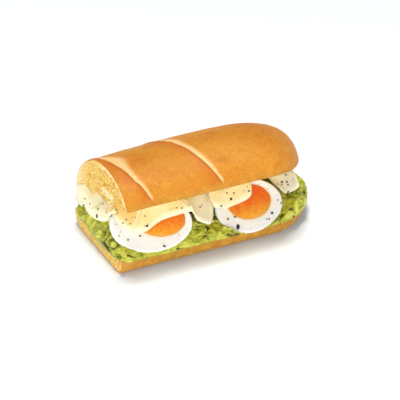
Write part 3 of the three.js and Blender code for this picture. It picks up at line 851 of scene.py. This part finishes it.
def yolk_piece(number, egg, material):
    """The yolk: its round underside and its domed, slightly rough cut face."""
    centre, edge = yolk_edge(number, egg)
    rows, ups, rims = [], [], []
    for angle in np.linspace(0, math.pi / 2, 26):
        out = math.sin(angle)
        rows.append(egg_ring(egg, centre + edge * out, -(YOLK_DEPTH - 0.3) * math.cos(angle) - 0.25))
        ups.append(0.5 + 0.5 * out * np.sin(AROUND))
        rims.append(1)
    for share in np.linspace(1, 0, 46)[1:]:
        flat = centre + edge * share
        place = points_at(*flat.T, 0)
        rough = 0.28 * layered(place, 4, 3, 40 + number) + 0.12 * layered(place, 1.2, 2, 50)
        depth = 0.75 * math.sqrt(max(0, 1 - share**4)) - 0.2 + rough * min(1, (1 - share) * 8)
        depth[-1] = depth[0]
        rows.append(egg_ring(egg, flat, depth))
        ups.append(0.5 + 0.5 * share * np.sin(AROUND))
        rims.append(smooth(0.86, 1, share))
    grid = np.array(rows)
    grid[0], grid[-1] = grid[0, 0], grid[-1, 0]
    shell = Shell()
    shell.add(grid, up=np.array(ups), rim=np.array(rims)[:, None])
    return shell.build(f"yolk_of_egg_{number}", material)


# The avocado

AVOCADO_START = -1.8  # past the cut end
AVOCADO_OUT = 1.7  # past the base bread's sides and far end
AVOCADO_ROUND = 12  # length over which its ends round off


def avocado_half(x):
    squash = LENGTH / (LENGTH + AVOCADO_OUT)
    start = super_ellipse(np.clip((10 + AVOCADO_START - x) / 10, 0, 1), 2.4)
    end = taper(x * squash, LENGTH, BASE_END["width"], BASE_END["power"])
    return (BASE_WIDTH / 2 + AVOCADO_OUT) * end * start**0.3


def avocado_top(x, y):
    half = np.maximum(avocado_half(x), 1e-6)
    across = super_ellipse(np.minimum(1, np.abs(y - BASE_MIDDLE) / half), 2.9)
    from_start = np.maximum(0, AVOCADO_START + AVOCADO_ROUND - x) / AVOCADO_ROUND
    start = super_ellipse(np.minimum(1, from_start), 2.2)
    swell = across * start * taper(x, LENGTH + AVOCADO_OUT, AVOCADO_ROUND, 2)
    relief = (1.5 * lumps(x, y, 0, 15) + 0.8 * lumps(x, y, 9, 7)) * np.minimum(1, 2.5 * swell)
    return BASE_RIM - 1 + (AVOCADO_HEIGHT + 1) * swell + relief


def avocado_foot(x, y):
    side = np.maximum(smooth(2, 12, x), smooth(-26, -34, y))
    ragged = 1.6 * noise(points_at(0, y), 5, 78)
    return blend(10 + 2.2 * lumps(x, y, 4, 17) + ragged, 12.2 + 0.8 * lumps(x, y, 4, 13), side)


def mash_relief(points):
    """How far the mash stands out, in mm, and its tone: smeared flakes with some creases between them."""
    warp = np.stack([layered(points, 11, 3, 60 + 3 * k) for k in range(3)], -1)
    big, big_tone, big_crease = chips(points * np.array([0.75, 1.15, 1]) + 9 * warp, 8, 100)
    small, small_tone, small_crease = chips(points + 5 * warp, 3.4, 120)
    open_crease = smooth(-0.3, 0.5, noise(points, 9, 75)) * (0.35 + 0.65 * smooth(0, 14, points[..., 0]))
    big_crease = blend(1, big_crease, 0.35 + 0.65 * open_crease)
    small_crease = blend(1, small_crease, 0.6 * open_crease)
    folds = 1 - 2.4 * np.abs(layered(points + 4 * warp, 6, 3, 64))
    relief = big_crease * (0.9 + 0.8 * big) + small_crease * (0.4 + 0.35 * small) + 0.7 * folds
    relief += 0.3 * layered(points, 1.6, 2, 70) + 0.5 * noise(points, 14, 66)
    return relief - 1.7, 0.5 * big_tone + 0.3 * small_tone + 0.2


def avocado_piece(material):
    columns = 240
    rounding = [0, 0.02, 0.06, 0.12, 0.2, 0.3, 0.42, 0.56, 0.72, 0.9, 1.15, 1.4, 1.7, 2, 2.4, 2.7]
    rest = stations(3, LENGTH + AVOCADO_OUT - AVOCADO_START, BASE_END["width"], 262, 58)
    xs = AVOCADO_START + np.concatenate([rounding, rest])

    def plan(across):
        x = np.repeat(xs[:, None], len(across), 1)
        y = BASE_MIDDLE + avocado_half(x) * across[None]
        z = avocado_top(x, y)
        for egg in EGGS:
            limit = open_above(egg, x, y, 0.4) - 0.3
            z = np.where(limit < z, np.maximum(limit, BASE_RIM - 3), z)
        return x, y, z

    x, y, z = plan(np.cos(np.linspace(0, math.pi, columns + 1)))
    top = points_at(x, y, z)
    relief, tone = mash_relief(top)
    normal = grid_normals(top)
    normal *= np.sign(normal[..., 2:] + 1e-9)
    calm = np.minimum(1, steps_from_edge(columns) / 10) * smooth(0, 0.05, x - AVOCADO_START)
    calm *= smooth(0, 4, LENGTH + AVOCADO_OUT - x)
    moved = top + normal * (relief * calm)[..., None]
    for egg in EGGS:
        limit = open_above(egg, moved[..., 0], moved[..., 1], 0.2) - 0.4
        moved[..., 2] = np.minimum(moved[..., 2], limit)
    x, y, z = plan(np.cos(np.linspace(0, math.pi, 25)))
    foot = points_at(x, y, np.minimum(np.minimum(z, avocado_foot(x, y)), BASE_RIM + 0.5))
    inner = smooth(1.5, 6, avocado_half(x) - np.abs(y - BASE_MIDDLE)) * smooth(1, 8, x - AVOCADO_START)
    inner *= smooth(0, 8, LENGTH + AVOCADO_OUT - x)
    foot[..., 2] = blend(foot[..., 2], np.minimum(z, base_top(x, y)) - 1.5, inner)
    least = 0.14 * (1 - smooth(3, 14, moved[..., 0]))  # no black painted crease shade close to the cut
    # how high each point stands, which sets the painted light and shade of the flakes and creases
    high = np.clip(0.62 + 0.36 * relief, least, 1)
    # painted shade along the mash's rounded edge at the cut end
    high *= 0.25 + 0.75 * smooth(0, 0.15, top[..., 0] - AVOCADO_START)

    def patchy(grid, height):
        """Marks of a side without flakes, which only vary from place to place."""
        spots = np.clip(height + 0.5 * noise(grid, 3, 81), 0, 1)
        return {"high": spots, "tone": 0.5 + 0.4 * noise(grid, 7, 82)}

    shell = Shell()
    shell.add(moved, high=high, tone=tone)
    shell.add(foot, **patchy(foot, 0.4))
    for j in (0, -1):
        strip = np.stack([moved[:, j], foot[:, j]])
        shell.add(strip, **patchy(strip, 0.45))
    return shell.build("mash", material)


# Heights over the plan, for what lies on the filling


class Field:
    """A value over a plan grid, read between its points."""

    STEP = 0.5
    LOW = np.array([-12, -62])
    SIZE = (400, 250)

    def __init__(self, values):
        self.values = values

    @classmethod
    def plan(cls):
        x = cls.LOW[0] + cls.STEP * np.arange(cls.SIZE[0])
        y = cls.LOW[1] + cls.STEP * np.arange(cls.SIZE[1])
        return np.meshgrid(x, y, indexing="ij")

    def at(self, x, y):
        u = np.clip((x - self.LOW[0]) / self.STEP, 0, self.SIZE[0] - 1.001)
        v = np.clip((y - self.LOW[1]) / self.STEP, 0, self.SIZE[1] - 1.001)
        i, j = u.astype(int), v.astype(int)
        f, g = u - i, v - j
        w = self.values
        low = blend(w[i, j], w[i + 1, j], f)
        high = blend(w[i, j + 1], w[i + 1, j + 1], f)
        return blend(low, high, g)

    def near(self, reach, count=8):
        """Its values at `count` places round each point, `reach` mm away."""
        x, y = self.plan()
        angles = 2 * math.pi * np.arange(count) / count
        return [self.at(x + reach * math.cos(a), y + reach * math.sin(a)) for a in angles]

    def highest(self, reach, count=8):
        return np.maximum.reduce([self.values, *self.near(reach, count)])


# The cheese


def face_plane(egg):
    normal = egg_axes(egg)[2]
    return {"at": egg["at"], "slopes": (-normal[0] / normal[2], -normal[1] / normal[2])}


# The corners of each slice go round from its front left one. It spans hollows at the height of the lowest
# of its top and its held planes, and lies on the filling where that is higher. Of its other values, bow
# and sag bend its front edge, curl and wall raise its back, over and rise lay it on an earlier slice, and
# shade, from and pale say how much painted shade, darker yellow, it has at the back, and where along it
# it turns pale with painted light.
SLICES = [
    {"corners": [(6, -26), (75.5, -37.5), (93.5, 4), (22, 12)], "top": 40, "bow": 0.5, "sag": -3.6,
     "shade": 0.8, "pale": (0.55, 0.9),
     "held": [face_plane(EGGS[0]), {"at": (74, -37, 22), "slopes": (-0.52, 0.85)}]},
    {"corners": [(-2.3, -15), (6.5, -17), (22, 34), (-3.1, 43.5)], "top": 42, "curl": 5.5, "wall": 3.4,
     "shade": 0, "pale": (-0.6, 2.8), "held": [{"at": (-1, 15, 26.5), "slopes": (2, -0.31)}]},
    {"corners": [(3.5, -19), (12.5, -31.5), (40, -8), (5, 3)], "top": 46, "bow": -0.5, "over": 0,
     "rise": 0.3, "shade": 1, "from": -0.15, "pale": (2, 3), "held": [face_plane(EGGS[0])]},
    {"corners": [(78, -31), (114.5, -25.5), (121, 14), (81.5, 18)], "top": 41, "bow": 1.2, "over": 0,
     "pale": (2, 3), "held": [face_plane(EGGS[1])]},
    {"corners": [(139, -23), (157, -20), (155, 12), (128, 10)], "top": 34, "over": 3,
     "held": [{"at": (145, -22, 24.5), "slopes": (0, 0.75)}]},
]


def slice_covers(piece, x, y):
    """1 over the slice, falling to 0 a little way outside its outline."""
    far = np.full(x.shape, -999.0)
    corners = piece["corners"]
    for (ax, ay), (bx, by) in zip(corners, corners[1:] + corners[:1]):
        side = math.hypot(bx - ax, by - ay)
        far = np.maximum(far, ((x - ax) * (by - ay) - (y - ay) * (bx - ax)) / side)
    return 1 - smooth(2, 9, far)


def settle_filling():
    """Fields for how high each slice lies, how much it thickens upright on its slope, and the whole
    filling's top, taken as the highest within reach of the lid's soft crumb."""
    x, y = Field.plan()
    support = Field(np.maximum.reduce([avocado_top(x, y), *[egg_top(egg, x, y) for egg in EGGS]]))
    clear = Field(support.highest(2))
    drape = Field(np.maximum(clear.values, sum(clear.near(4)) / 8) + GAP)
    dx = (drape.at(x + 3, y) - drape.at(x - 3, y)) / 6
    dy = (drape.at(x, y + 3) - drape.at(x, y - 3)) / 6
    steep = Field(np.minimum(1.9, np.sqrt(1 + dx**2 + dy**2)))
    bottoms, tops = [], []
    for piece in SLICES:
        planes = [p["at"][2] + p["slopes"][0] * (x - p["at"][0]) + p["slopes"][1] * (y - p["at"][1])
                  for p in piece["held"]]
        planes[0] += piece.get("curl", 0) * smooth(5, 42, y)
        planes[0] += piece.get("wall", 0) * np.maximum(0, x + 3) * smooth(2, 42, y)
        low = np.maximum(drape.values, np.minimum.reduce([x * 0 + piece["top"], *planes]))
        if "over" in piece:
            clearance = (CHEESE + 2 * GAP) * steep.values * piece.get("rise", 1)
            lifted = bottoms[piece["over"]].highest(2, 6) + clearance
            share = slice_covers(SLICES[piece["over"]], x, y)
            low = blend(low, np.maximum(low, lifted), share)
        sharp = Field(low)
        low = np.maximum(drape.values, (sum(sharp.near(3)) + sum(sharp.near(1.5))) / 16)
        bottoms.append(Field(low))
        tops.append(blend(drape.values, low + CHEESE * steep.values, slice_covers(piece, x, y)))
    whole = Field(np.maximum.reduce(tops))
    return bottoms, steep, Field(whole.highest(4.5))


def slice_plan(piece, u, v):
    """Plan place on a slice: u runs along it, v from its front edge back. Its corners are rounded off."""
    a, b, c, d = (np.array(corner, float) for corner in piece["corners"])
    front = blend(a, b, u[..., None])
    front[..., 1] += piece.get("bow", 0) * np.sin(math.pi * (1 - (1 - u) ** 1.6))
    front[..., 1] += piece.get("sag", 0) * np.exp(-(((u - 0.22) / 0.14) ** 2))
    back = blend(d, c, u[..., None])
    corner = (np.abs(2 * u - 1) * np.abs(2 * v - 1)) ** 4
    return blend(blend(front, back, v[..., None]), (a + b + c + d) / 4, 0.09 * corner[..., None])


def edge_shares(count):
    """Shares from 0 to 1, closer together towards both ends."""
    share = np.linspace(0, 1, count + 1)
    return blend(0.5 - 0.5 * np.cos(math.pi * share), share, 0.6)


def slice_piece(number, piece, bottom, steep, material):
    u, v = np.meshgrid(edge_shares(120), edge_shares(90), indexing="ij")
    plan = slice_plan(piece, u, v)
    x, y = plan[..., 0], plan[..., 1]
    low = bottom.at(x, y)
    thick = CHEESE * steep.at(x, y)
    corners = np.array(piece["corners"], float)
    long, wide = np.linalg.norm(corners[1] - corners[0]), np.linalg.norm(corners[3] - corners[0])
    inset = np.minimum(np.minimum(u, 1 - u) * long, np.minimum(v, 1 - v) * wide)
    round_off = np.sqrt(np.clip(1 - (1 - np.minimum(1, inset / 2.4)) ** 2, 0, 1))
    wave = layered(points_at(x, y, number * 40), 12, 2, 70)
    middle = low + thick * (0.5 - 0.3 * (1 - round_off)) + 0.22 * wave * np.minimum(1, inset / 4)
    start = piece.get("from", 0.3)
    # painted shade, darker yellow, towards its back under the lid
    back = piece.get("shade", 0.25) * smooth(start, start + 0.5, v + 0.12 * wave)
    # painted light: paler along the slice over its given range
    pale = smooth(*piece.get("pale", (-1, -0.5)), u)
    shell = Shell()
    for side in (1, -1):
        surface = points_at(x, y, middle + side * thick / 2 * round_off)
        shell.add(surface, edge=1 - smooth(0.3, 2.2, inset), back=back, pale=pale)
    return shell.build(f"slice_{number}", material)


# Camera values, also used to place the larger pepper flecks where they lie in view

AZIMUTH, ELEVATION = math.radians(-25.8), math.radians(31.2)
LENS, SENSOR = 270, 36
DISTANCE = 2200
TARGET = Vector((-19.5, -35.5, 48.1))  # mm from the frame's origin
FRAME_SIDE = 400  # pixels

BACK = Vector((math.sin(AZIMUTH) * math.cos(ELEVATION), -math.cos(AZIMUTH) * math.cos(ELEVATION),
               math.sin(ELEVATION)))
RIGHT = Vector((math.cos(AZIMUTH), math.sin(AZIMUTH), 0))
UP = BACK.cross(RIGHT)
EYE = (TARGET + BACK * DISTANCE) * MM


def seen_at(across, down, trees):
    """Where the view ray through a place in the frame first meets the pieces."""
    reach = LENS / SENSOR * FRAME_SIDE
    way = (RIGHT * (across - FRAME_SIDE / 2) - UP * (down - FRAME_SIDE / 2) - BACK * reach).normalized()
    hits = [tree.ray_cast(EYE, way) for tree in trees]
    return min((hit for hit in hits if hit[0]), key=lambda hit: hit[3])[0]


# Pepper

# Flecks that stand out, as pixels across and down the frame and their length in mm
BOLD_FLECKS = [
    (97, 216, 2.2), (249, 191, 1.9), (238, 227, 2.9), (123, 223, 1.3), (147, 226, 1.8),
    (191, 213, 1.5), (194, 215, 1.3), (227, 193, 1.1), (234, 193, 1.1), (231, 199, 1.7),
    (221, 206, 1.5), (228, 219, 1.7), (235, 217, 1.2), (269, 219, 1.3), (272, 213, 1.7),
    (281, 203, 1.2), (278, 200, 1.1), (286, 175, 1.5), (282, 182, 1.6), (287, 182, 1.5),
    (288, 185, 1.3), (288, 192, 1.2), (85, 199, 1.2), (84, 205, 1.3), (90, 204, 1.2),
    (98, 209, 1.6), (164, 246, 1.5), (128, 240, 1.2), (119, 236, 0.9), (140, 236, 1.3),
    (130, 224, 1.1), (182, 208, 1.2), (202, 205, 1), (200, 207, 1.1), (145, 216, 1),
]
BOLD_RADIUS = 0.7  # of a fleck's length
STREWN_SIZES = (0.28, 0.68)
STREWN_SEED, SHAPE_SEED = 11, 4
SLICE_GRAINS, WHITE_GRAINS, MASH_GRAINS = 30, 26, 60
UPWARD = 0.45  # least upward share of the normal where strewn grains lie
ROUGHNESS = 0.9
FULL_TURN = 6.28


def point_values(mesh, key):
    values = np.zeros(len(mesh.vertices) * 3, np.float32)
    mesh.vertices.foreach_get(key, values)
    return values.reshape(-1, 3)


def pepper_piece(trees, carriers, material):
    """Cracked grains: the bold ones where they show, and small ones strewn by a seeded rule."""
    places = [seen_at(across, down, trees) for across, down, _ in BOLD_FLECKS]
    sizes = [BOLD_RADIUS * length for _, _, length in BOLD_FLECKS]
    random = np.random.default_rng(STREWN_SEED)
    for carrier, count in carriers:
        co, normals = (point_values(carrier.data, key) for key in ("co", "normal"))
        facing = np.flatnonzero(normals[:, 2] > UPWARD)
        for i in random.choice(facing, count, replace=False):
            places.append(co[i])
            sizes.append(blend(*STREWN_SIZES, random.random() ** 2))
    mesh = bpy.data.meshes.new("pepper_places")
    mesh.from_pydata([tuple(place) for place in places], [], [])
    layer = mesh.attributes.new("size", "FLOAT", "POINT")
    layer.data.foreach_set("value", np.array(sizes, np.float32) * MM)
    group, sockets = grain_group(material)
    settings = {sockets["Seed"]: SHAPE_SEED, sockets["Roughness"]: ROUGHNESS * MM}
    return grown(put("pepper_places", mesh), group, settings, "pepper")


def grain_group(material):
    """Geometry Nodes that put a broken grain on each place, and the identifiers of their sockets."""
    group = bpy.data.node_groups.new("grains", "GeometryNodeTree")
    sockets = {}
    for way, name, kind in (("INPUT", "Places", "Geometry"), ("INPUT", "Seed", "Int"),
                            ("INPUT", "Roughness", "Float"), ("OUTPUT", "Grains", "Geometry")):
        socket = group.interface.new_socket(name, in_out=way, socket_type=f"NodeSocket{kind}")
        sockets[name] = socket.identifier
    tree = Tree(group)
    start = group.nodes.new("NodeGroupInput")
    given = {socket.name: Value(tree, socket) for socket in start.outputs if socket.name}

    def draw(low, high):
        inputs = {0: low, 1: high, "Seed": given["Seed"]}
        return tree.node("FunctionNodeRandomValue", {"data_type": "FLOAT_VECTOR"}, inputs)

    def scaled(vector, factor):
        return tree.node("ShaderNodeVectorMath", {"operation": "SCALE"}, {0: vector, "Scale": factor})

    size = tree.node("GeometryNodeInputNamedAttribute", {"data_type": "FLOAT"}, {"Name": "size"})
    grains = tree.node("GeometryNodeInstanceOnPoints", inputs={
        "Points": given["Places"],
        "Instance": tree.node("GeometryNodeMeshIcoSphere", inputs={"Radius": 1, "Subdivisions": 2}),
        "Rotation": draw((0, 0, 0), (FULL_TURN, FULL_TURN, FULL_TURN)),
        "Scale": scaled(draw((0.75, 0.5, 0.45), (1.2, 0.9, 0.7)), size)})
    joined = tree.node("GeometryNodeRealizeInstances", inputs=[grains])
    cracks = tree.node("ShaderNodeTexNoise", inputs={"Scale": 1400, "Detail": 1}, output="Color")
    shift = tree.node("ShaderNodeVectorMath", {"operation": "SUBTRACT"}, [cracks, (0.5, 0.5, 0.5)])
    offset = scaled(shift, given["Roughness"])
    broken = tree.node("GeometryNodeSetPosition", inputs={"Geometry": joined, "Offset": offset})
    finished = tree.node("GeometryNodeSetMaterial", inputs={"Geometry": broken, "Material": material})
    end = group.nodes.new("NodeGroupOutput")
    group.links.new(finished.socket, end.inputs[0])
    return group, sockets


def grown(holder, group, settings, name):
    """The plain mesh that a Geometry Nodes group makes on a holder, which is then removed."""
    modifier = holder.modifiers.new(name, "NODES")
    modifier.node_group = group
    for identifier, value in settings.items():
        modifier[identifier] = value
    mesh = bpy.data.meshes.new_from_object(holder.evaluated_get(bpy.context.evaluated_depsgraph_get()))
    bpy.data.objects.remove(holder)
    return put(name, mesh)


# Assembly


def settle(piece, slot, *nodes):
    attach(piece, "root")
    if nodes:
        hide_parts(*nodes)
    return piece


bread, cheese, white, orange = bread_finish(), cheese_finish(), white_finish(), yolk_finish()
slice_bottoms, slice_steep, filling_top = settle_filling()

base_roll = settle(base_piece(bread), "bread", "bread_base")
lid_roll = settle(lid_piece(filling_top, bread), "bread", "bread_lid")
mash = settle(avocado_piece(avocado_finish()), "avocado", "avocado")

whites, yolks, slices = [], [], []
for number, egg in enumerate(EGGS, 1):
    whites.append(settle(white_piece(number, egg, white), "egg_white", f"egg_white_{number}"))
    if "yolk" in egg:
        yolks.append(settle(yolk_piece(number, egg, orange), "egg_yolk", f"egg_yolk_{number}"))
for number, (piece, bottom) in enumerate(zip(SLICES, slice_bottoms), 1):
    made = slice_piece(number, piece, bottom, slice_steep, cheese)
    slices.append(settle(made, "cheese", f"cheese_slice_{number}"))

bpy.context.view_layer.update()
layers = bpy.context.evaluated_depsgraph_get()
seen = (base_roll, lid_roll, mash, *whites, *yolks, *slices)
trees = [BVHTree.FromObject(piece, layers) for piece in seen]
carriers = [*[(piece, SLICE_GRAINS) for piece in slices], *[(piece, WHITE_GRAINS) for piece in whites[:2]],
            (mash, MASH_GRAINS)]
settle(pepper_piece(trees, carriers, pepper_finish()), None)

# Floor, light and camera

COOL_WHITE = (0.97, 0.99, 1)


def floor_piece():
    shape = bmesh.new()
    bmesh.ops.create_grid(shape, x_segments=1, y_segments=1, size=8)
    mesh = bpy.data.meshes.new("floor")
    shape.to_mesh(mesh)
    shape.free()
    finish = Finish("floor_white", Roughness=0.8, Base_Color=(0.95, 0.95, 0.95, 1), Emission_Strength=1)
    away = finish.node("ShaderNodeVectorMath", {"operation": "LENGTH"}, [finish.place], "Value")
    near = (0.01, 0.06, 0.1, 1)  # painted cool light: a faint blue glow of the floor beside the sandwich, evening out the bread's warm glow on it
    # Painted light: the floor glows from faintly blue beside the sandwich to bright white farther away.
    glow = {0: finish.fade(away, 0.35, 1.8), 6: near, 7: (0.85, 0.85, 0.85, 1)}
    finish.feed("Emission Color", finish.node("ShaderNodeMix", {"data_type": "RGBA"}, glow, output=2))
    mesh.materials.append(finish.material)
    floor = put("floor", mesh)


def soft_light(name, way, distance, size, power, tint=(1, 1, 1)):
    """A soft light of a given width and height that shines at the sandwich from the given way."""
    light = bpy.data.lights.new(name, "AREA")
    light.energy = power
    light.shape = "RECTANGLE"
    light.size, light.size_y = size
    light.color = tint
    lamp = put(name, light)
    aim = Vector(way).normalized()
    lamp.location = aim * distance
    lamp.rotation_euler = aim.to_track_quat("Z", "Y").to_euler()


floor_piece()
soft_light("key", (-0.02, 0.02, 1), 1.5, (0.5, 0.5), 18.5)
soft_light("front", (-0.56, -1, 0.14), 1.8, (1.5, 0.4), 15.3, COOL_WHITE)
soft_light("right", (0.55, -1, 0.22), 1.8, (0.9, 0.5), 5.5, COOL_WHITE)
soft_light("side", (-1, -0.15, 0.35), 1.6, (0.8, 0.5), 5.5)

world = bpy.data.worlds.new("studio")
world.use_nodes = True
sky = world.node_tree.nodes["Background"]
sky.inputs["Color"].default_value = (*COOL_WHITE, 1)
sky.inputs["Strength"].default_value = 0.24
bpy.context.scene.world = world

camera = put("camera", bpy.data.cameras.new("camera"))
camera.data.lens = LENS
camera.data.sensor_width = SENSOR
camera.data.clip_start = 0.05
camera.data.clip_end = 60
camera.location = EYE
camera.rotation_euler = BACK.to_track_quat("Z", "Y").to_euler()
bpy.context.scene.camera = camera
bpy.context.scene.view_settings.view_transform = "Standard"
